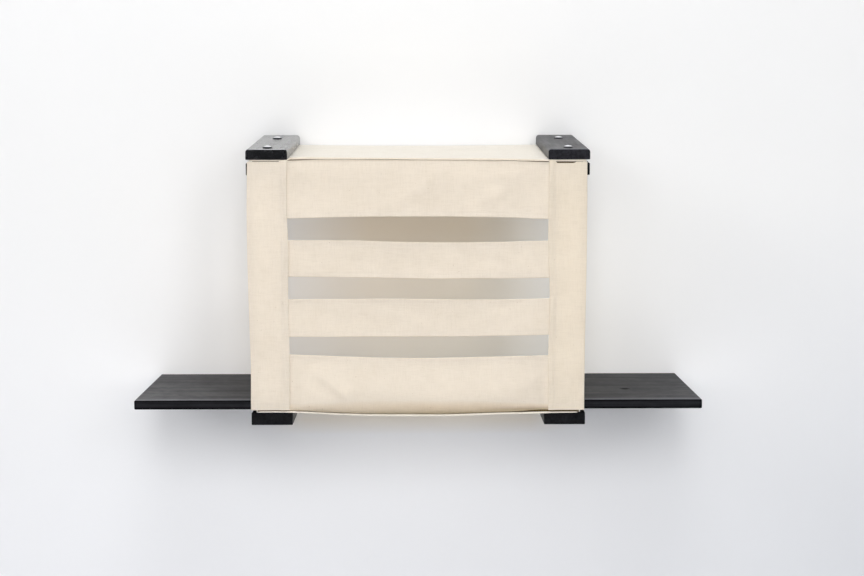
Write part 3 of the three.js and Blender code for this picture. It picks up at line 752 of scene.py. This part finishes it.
def strap(sign, name):
    """The strap on the side of the sign, with its stitch lines."""
    foot_z, top_z, inner, outer = STRAPS[sign]
    inner, outer = spline(inner), spline(outer)
    zs = stations(foot_z, top_z, 0.25, 0.8)
    section = folded_section(HEM + 3, HEM)
    a = across(section, inner(zs), outer(zs))
    z = np.broadcast_to(zs[:, None], a.shape)
    behind = np.array([row[3] for row in section])
    front = behind < 0.1
    waves = ripples(31 + sign, 8, 60, 170, 0.9)
    creases = ripples(41 + sign, 8, 16, 44, 1.2)

    def depth(a, z):
        """How far the strap stands towards the room: it lies over the bands, not the slots."""
        over = np.ones_like(z)
        for slot_top, slot_low in SLOTS:
            high_z, low_z = slot_top(sign * a), slot_low(sign * a)
            over -= step(z, low_z - 3, low_z + 4) * step(z, high_z + 3, high_z - 4)
        lap = step(a, BAND_END - 1, BAND_END - 6)
        off_ends = step(z, -16, 6) * step(z, 362, 336)
        return 0.75 * lap * over - 0.35 + off_ends * (0.5 * waves(a, z) + 0.1 * creases(a, z))

    from_inner, from_outer = a - inner(zs)[:, None], outer(zs)[:, None] - a
    dent = 0.0
    inner_seams = [(from_inner, FOLD_SEAM, 0.16), (from_inner, HEM_SEAM, 0.24)]
    for away, seam, deep in (*inner_seams, (from_outer, OUTER_SEAM, 0.14)):
        dent = dent + deep * hump(away - seam, 0.95) * front
    dent = dent - 0.24 * step(from_inner, 12, 10.2) * front
    dent = dent - 0.15 * step(from_outer, 8, 6) * front
    dent = dent - 0.2 * hump(from_inner - 6.2, 2.0) * front
    near_top = step(z, top_z - 9, top_z)
    rise = (INNER_CORNER_Z - top_z) * step(from_inner, 11.5, 8.0) * near_top
    if sign > 0:
        rise = rise + 2.0 * step(from_outer, 21, 15) * near_top
    y = STRAP_PLY_Y + dent + behind - depth(a, z)
    y = y + 0.25 * step(z, 355, 362) * front
    grid = np.stack([sign * a, y, z + rise], -1)
    if sign > 0:
        grid = grid[:, ::-1]
    piece = shell(name, grid, CLOTH / 2, canvas_front if sign < 0 else canvas_right)
    lines = []
    lz = zs[2:-2]
    for edge, seam in ((inner, FOLD_SEAM), (inner, HEM_SEAM), (outer, -OUTER_SEAM)):
        la = edge(lz) + seam
        ly = STRAP_PLY_Y + 0.26 - depth(la, lz) - CLOTH / 2
        if seam == HEM_SEAM:
            ly = ly - 0.3
        lines.append(np.stack([sign * la, ly, lz], -1))
    return piece, lines


for sign, side in ((-1, "left"), (1, "right")):
    piece, lines = strap(sign, "strap_" + side)
    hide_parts("canvas_strap_" + side)
    threads = stitching(f"strap_{side}_stitching", lines, TO_ROOM, thread)

# ---- Roof and floor

SHEET_BACK = -1.0  # y of the back edge of both
HEM_THICK, THINNER = 4.7, 3.75  # thickness of a side hem, and how much thinner the middle is
level_ripples = ripples(3, 8, 60, 170, 1.2)


def rim_rounding(distance, radius):
    """Thins a ply towards its edge, so that the edge is round."""
    d = np.clip(distance / radius, 0, 1)
    return np.sqrt(np.clip(1 - (1 - d) ** 2, 0, 1)) * 0.85 + 0.15


def level_grid(half_width, side, inset, front_y):
    """The x, y, share of the way to the front and thickness over a level sheet with side hems.

    side holds the stations of a hem, from its edge, and the middle's stations start at the inset.
    """
    side = np.array(side)
    middle = np.linspace(-half_width + inset, half_width - inset, 70)
    xs = np.concatenate([-half_width + side, middle, (half_width - side)[::-1]])
    ts = np.concatenate([[0, 0.002, 0.006], np.linspace(0.015, 0.985, 52), [0.994, 0.998, 1]])
    x, t = np.meshgrid(xs, ts, indexing="ij")
    y = SHEET_BACK + (front_y - SHEET_BACK) * t
    return x, y, t, HEM_THICK - THINNER * step(np.abs(x), STRAP_IN + 2.5, STRAP_IN - 3.5)


def level_sheet(name, x, y, z, thick, half_width, front_y):
    """A closed level sheet with round rims."""
    half = thick / 2 * rim_rounding(half_width - np.abs(x), 2.2)
    half = half * rim_rounding(np.minimum(SHEET_BACK - y, y - front_y), 0.5)
    return shell(name, np.stack([x, y, z], -1)[:, ::-1], half[:, ::-1], canvas_level_painted_light)


def roof_sheet():
    """The roof: one ply between the caps, with thick folded hems along both sides."""
    half_width, front_y = roof_high[0], roof_low[1]
    side = (0, 0.3, 0.9, 2.0, 6, 20, 38, 50, 53, 55, 56.5, 58, 60.5)
    x, y, t, thick = level_grid(half_width, side, 66, front_y)
    top_front = 364.2
    raised = 1.35 * step(np.abs(x), STRAP_IN - 1, STRAP_IN - 9) * step(t, 0.8, 0.97)
    raised = raised * (1 - 0.85 * step(x, 110, 175))
    top = top_front + raised + (y - front_y) * SLOPE
    free = step(np.abs(x), STRAP_IN - 2, STRAP_IN - 40)
    sag = 1.3 * (1 - (x / STRAP_IN) ** 2).clip(0, 1) * step(t, 1.0, 0.75) * free
    wave = free * (0.3 * level_ripples(x, y)) * step(t, 1.0, 0.93) * step(t, 0.0, 0.3)
    z = top - thick / 2 - sag + wave
    return level_sheet("roof_canvas", x, y, z, thick, half_width, front_y)


def floor_sheet():
    """The floor: clamped under the shelf at both sides, it hangs a little between the blocks."""
    half_width, front_y = floor_high[0], floor_low[1]
    side = (0, 0.3, 0.9, 2.0, 6, 20, 38, 45, 47, 49, 50.5, 52.5)
    x, y, t, thick = level_grid(half_width, side, 58, front_y)
    free = step(np.abs(x), STRAP_IN - 2, STRAP_IN - 30)
    sag = 4.3 * (1 - (x / STRAP_IN) ** 2).clip(0, 1)
    wave = free * 0.4 * level_ripples(y, x) * step(t, 1.0, 0.9) * step(t, 0, 0.06)
    z = floor_high[2] - 0.1 - thick / 2 - sag - np.abs(wave)
    return level_sheet("floor_canvas", x, y, z, thick, half_width, front_y)


def roll(name, xs, centre_y, centre_z, depth, height, node, seed, cloth, sides=16):
    """A rolled edge along x: an oval section that wanders a little, with the seam's tucks."""
    wobble = ripples(seed, 6, 9, 40, 0.2)
    turn = np.linspace(0, 2 * math.pi, sides, endpoint=False)
    x = np.broadcast_to(xs[:, None], (len(xs), sides))
    from_end = np.clip(1 - (xs[-1] - np.abs(xs)) / 1.4, 0, 1)
    ends = np.sqrt(np.clip(1 - from_end**2, 0.02, 1))[:, None]
    swell = 1 + 0.07 * wobble(xs, 0 * xs)[:, None]
    across_y, across_z = (np.sign(v) * np.abs(v) ** 0.65 for v in (np.cos(turn), np.sin(turn)))
    y = centre_y + depth / 2 * across_y * ends * swell
    z = centre_z[:, None] + height[:, None] / 2 * across_z * ends * swell
    points = np.stack([x, y, z], -1).reshape(-1, 3)
    faces = []
    for i in range(len(xs) - 1):
        for j in range(sides):
            a, b = i * sides + j, i * sides + (j + 1) % sides
            faces.append((a, a + sides, b + sides, b))
    faces.append(list(range(sides)))
    faces.append([(len(xs) - 1) * sides + j for j in reversed(range(sides))])
    piece = mesh_piece(name, points, faces, cloth)
    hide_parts(node)
    return piece


roof_piece = roof_sheet()
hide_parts("canvas_roof")
floor_piece = floor_sheet()
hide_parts("canvas_floor")


def seam_gap(x):
    """How far the lip stands above the top band's edge: the seam gapes towards its ends."""
    return 0.85 * (1 + 1.6 * step(x, -130, -180) + 0.85 * step(x, 150, 182))


# The rolled lip along the roof's front, pressed flat under the caps
xs = np.linspace(-253, 253, 260)
under_cap = step(np.abs(xs), cap_low[0] - 6, cap_low[0] + 4)
capped_z = np.where(xs < 0, 363.3, 362.75)
seam_z = EDGES["top_seam"](xs)
lip_height = 2.9 + np.where(xs < 0, -0.9, 0.1) * under_cap
lip_z = (seam_z + seam_gap(xs) + 1.45) * (1 - under_cap) + capped_z * under_cap
roof_lip = roll(
    "lip_roof", xs, centre_y=-281.95, centre_z=lip_z, depth=3.0, height=lip_height,
    node="canvas_lip_roof", seed=5, cloth=canvas_front,
)

# The rolled lip along the floor's front, thinner behind the straps
FLOOR_EDGE = 246
lip_middle = spline(
    [
        (-FLOOR_EDGE, -17.1), (-225, -17.1), (-180, -17.9), (-150, -19.2), (-120, -20.9),
        (-60, -22.5), (0, -22.8), (60, -22.5), (120, -20.6), (150, -20.0), (180, -19.4),
        (210, -18.9), (FLOOR_EDGE, -18.7),
    ]
)
xs = np.linspace(-242, 242, 260)
behind_strap = step(np.abs(xs), STRAP_IN - 1, STRAP_IN + 6)
lip_height = (1.85 + 1.35 * (1 - (xs / FLOOR_EDGE) ** 2)) * (1 - 0.35 * behind_strap)
floor_lip = roll(
    "lip_floor", xs, centre_y=-282.9, centre_z=lip_middle(xs), depth=3.2, height=lip_height,
    node="canvas_lip_floor", seed=6, cloth=canvas_lip,
)


def seam_shade_strip(name, xs, low, high, y):
    """A narrow strip of cloth upright behind a seam, from heights low to high, dark as painted
    shade.
    """
    z = low[:, None] + (high - low)[:, None] * np.linspace(0, 1, 4)
    x = np.broadcast_to(xs[:, None], z.shape)
    grid = np.stack([x, np.full(z.shape, y), z], -1)
    return shell(name, grid, half=0.3, material=canvas_seam_shade)


# Dark strips behind the roof's and the floor's seams: painted shade in the grooves under the lips
xs = np.linspace(-248, 248, 240)
seam_z = EDGES["top_seam"](np.clip(xs, -BAND_END, BAND_END))
over_strap = step(np.abs(xs), STRAP_IN - 1, STRAP_IN + 3)
high = (seam_z + 0.3 + seam_gap(xs)) * (1 - over_strap) + 362.9 * over_strap
roof_turning_shade = seam_shade_strip("roof_turning_shade", xs, high - 5.2, high, y=-281.2)
xs = np.linspace(-244, 244, 240)
turning_z = lip_middle(xs)
floor_turning_shade = seam_shade_strip("floor_turning_shade", xs, turning_z - 0.4, turning_z + 5.0, y=-280.8)

STITCH_Y, STITCH_Z = -277.4, 364.45  # the roof's line of stitches, just behind its lip
rear = np.linspace(-194, 194, 200)
roof_line = np.stack([rear, np.full(rear.shape, STITCH_Y), np.full(rear.shape, STITCH_Z)], -1)
roof_threads = stitching("roof_stitching", [roof_line], UPWARD, thread)

# ---- Stage: wall and floor, each seen from its front side only

# Painted light and shade on the wall, in zones: the heights at which each starts, is full, begins
# to fade and ends, its strength by the distance from the middle, and its tint. The first two,
# behind the tunnel and below it, are painted warm light that has come through canvas, and the
# third, above the roof, is painted shade.
WALL_ZONES = [
    (0.02, 0.24, 0.3, 0.34, (0.08, 0.22, 1.0, 0.0), (0.99, 0.91, 0.8)),
    (-0.104, -0.078, -0.03, 0.0, (0.25, 0.19, 0.0, 1.0), (0.95, 0.89, 0.8)),
    (0.35, 0.37, 0.42, 0.54, (0.26, 0.1, 0.0, 1.0), (0.935, 0.94, 0.955)),
]


def one_sided(name, colour, glow, zones=()):
    """A pale plain surface that lets a camera and lamps behind it look through.

    glow is how brightly a camera sees it shine. Painted shade makes it cooler low down, and darker
    low at the right; its zones are painted light and shade.
    """
    n = Nodes(name)

    def tinted(*tint):
        return tuple(np.array(colour) * tint)

    tone = n.ramp(n.noise(n.place, 3.0, 4.0), [(0.3, tinted(0.992)), (0.7, colour)])
    x, _, z = n.axes()
    # Painted shade: cooler low down, and darker low at the right
    low = n.between(z, 0.3, -0.45, 0.0, 1.0)
    aside = n.between(x, 0.27, 0.72, 0.0, 1.0)
    tone = n.mix(low, tone, tinted(0.985, 0.992, 1.02))
    for start, full, fading, end, sideways, tint in zones:
        heights = n.times(n.between(z, start, full, 0.0, 1.0), n.between(z, fading, end, 1.0, 0.0))
        fac = n.times(heights, n.between(n.math("ABSOLUTE", x), *sideways))
        tone = n.mix(fac, tone, tinted(*tint))
    tone = n.mix(n.times(low, aside), tone, tinted(0.87, 0.885, 0.915))
    n.set(Base_Color=tone, Roughness=0.9, Specular_IOR_Level=0.1)
    light_path = n.add("ShaderNodeLightPath")
    strength = n.times(light_path.outputs["Is Camera Ray"], glow)
    shine = n.add("ShaderNodeEmission", {"Color": (*colour, 1), "Strength": strength})
    lit = n.add("ShaderNodeAddShader", {0: n.shader.outputs[0], 1: shine.outputs[0]})
    clear = n.add("ShaderNodeBsdfTransparent")
    facing = n.add("ShaderNodeNewGeometry").outputs["Backfacing"]
    open_side = n.math("MAXIMUM", facing, light_path.outputs["Is Shadow Ray"])
    both = {0: open_side, 1: lit.outputs[0], 2: clear.outputs[0]}
    n.feed(n.add("ShaderNodeMixShader", both).outputs[0], n.output.inputs["Surface"])
    return n.material


def backdrop(name, corners, material):
    """A flat part of the stage with four corners."""
    mesh = bpy.data.meshes.new(name)
    mesh.from_pydata(corners, [], [(0, 1, 2, 3)])
    mesh.materials.append(material)
    piece = bpy.data.objects.new(name, mesh)
    bpy.context.scene.collection.objects.link(piece)


WALL_Y, WALL_SIDE, WALL_TOP = 0.0006, 2, 2.2
FLOOR_Z, FLOOR_SIDE, FLOOR_BACK = -1.0, 4, 2
backdrop(
    "wall",
    [
        (-WALL_SIDE, WALL_Y, FLOOR_Z), (WALL_SIDE, WALL_Y, FLOOR_Z),
        (WALL_SIDE, WALL_Y, WALL_TOP), (-WALL_SIDE, WALL_Y, WALL_TOP),
    ],
    one_sided("wall_paint", (0.9, 0.9, 0.9), 0.0, WALL_ZONES),
)
backdrop(
    "floor",
    [
        (-FLOOR_SIDE, -FLOOR_SIDE, FLOOR_Z), (FLOOR_SIDE, -FLOOR_SIDE, FLOOR_Z),
        (FLOOR_SIDE, FLOOR_BACK, FLOOR_Z), (-FLOOR_SIDE, FLOOR_BACK, FLOOR_Z),
    ],
    one_sided("floor_paint", (0.82, 0.82, 0.83), 0.62),
)

# ---- Lights


def area_light(name, place, aim, size, power, colour=(1, 1, 1), seen=True):
    """A rectangular lamp that the camera doesn't see, and reflections only if it is seen."""
    data = bpy.data.lights.new(name, "AREA")
    data.shape = "RECTANGLE"
    data.size, data.size_y = size
    data.energy = power
    data.color = colour
    lamp = bpy.data.objects.new(name, data)
    bpy.context.scene.collection.objects.link(lamp)
    lamp.visible_camera = False
    lamp.visible_glossy = seen
    lamp.location = place
    lamp.rotation_euler = (Vector(aim) - Vector(place)).to_track_quat("-Z", "Y").to_euler()


AIM = (0, 0, 0.15)
area_light("front_tall", (0, -3.6, 0.9), AIM, (1.0, 2.4), 33, seen=False)
area_light("front_wide", (0, -3.6, 0.9), AIM, (3.0, 2.4), 8, seen=False)
area_light("front_high", (0, -3.4, 1.35), AIM, (1.2, 1.0), 12.5, seen=False)
area_light("front_left", (-1.2, -3.4, 0.9), AIM, (0.8, 1.6), 10, seen=False)
area_light("front_right", (1.2, -3.4, 0.9), AIM, (0.8, 1.6), 22, seen=False)
area_light("overhead", (0, -0.8, 3.0), (0, -0.2, 0.2), (1.3, 1.0), 33.4)
area_light("top_front", (0, -1.8, 3.0), AIM, (3.0, 2.0), 8.4)
area_light("left_high", (-3.0, -1.8, 1.9), AIM, (1.6, 1.6), 25.2)
area_light("rear", (0, 2.6, 1.6), AIM, (3.0, 2.0), 7.2, seen=False)

# Light that has come through the canvas to the wall behind it: x, height, size, power and colour
TUNNEL_LAMPS = {
    "tunnel_left": (-0.195, 0.111, (0.1, 0.217), 0.0978, (1.0, 0.905, 0.822)),
    "tunnel_low": (0, 0.03, (0.36, 0.05), 0.079, (1.0, 0.753, 0.317)),
    "tunnel_right": (0.21, 0.136, (0.08, 0.267), 0.115, (1.0, 0.993, 0.929)),
}
for name, (x, z, size, power, colour) in TUNNEL_LAMPS.items():
    area_light(name, (x, -0.2, z), (x, 0, z), size, power, colour, seen=False)

WORLD_FILL, WORLD_SEEN = 0.07, 0.93  # the world's strength as light, and as a camera sees it
world = bpy.data.worlds.new("studio")
bpy.context.scene.world = world
world.use_nodes = True
tree = world.node_tree
background = tree.nodes["Background"]
background.inputs["Color"].default_value = (0.97, 0.985, 1.0, 1)
light_path = tree.nodes.new("ShaderNodeLightPath")
level = tree.nodes.new("ShaderNodeMath")
level.operation = "MULTIPLY_ADD"
level.inputs[1].default_value = WORLD_SEEN - WORLD_FILL
level.inputs[2].default_value = WORLD_FILL
tree.links.new(light_path.outputs["Is Camera Ray"], level.inputs[0])
tree.links.new(level.outputs[0], background.inputs["Strength"])

# ---- Camera

FOCAL_PIXELS = 1716.79
PHOTO_WIDTH = 864
CAMERA_PLACE = (0.002449, -2.861298, 0.415755)
TILT, YAW, ROLL = math.radians(5.42), math.radians(-0.41), math.radians(0.08)
camera_data = bpy.data.cameras.new("camera")
camera_data.sensor_width = 36
camera_data.lens = FOCAL_PIXELS / PHOTO_WIDTH * camera_data.sensor_width
camera_data.clip_end = 50
camera = bpy.data.objects.new("camera", camera_data)
bpy.context.scene.collection.objects.link(camera)
turned = Matrix.Rotation(YAW, 3, "Z") @ Matrix.Rotation(-TILT, 3, "X")
turned = turned @ Matrix.Rotation(ROLL, 3, "Y")
right, forward, up = (turned @ Vector(axis) for axis in ((1, 0, 0), (0, 1, 0), (0, 0, 1)))
camera.matrix_world = Matrix.Translation(CAMERA_PLACE) @ Matrix(
    [[right[i], up[i], -forward[i], 0] for i in range(3)] + [[0, 0, 0, 1]]
)
bpy.context.scene.camera = camera
bpy.context.scene.view_settings.view_transform = "Standard"
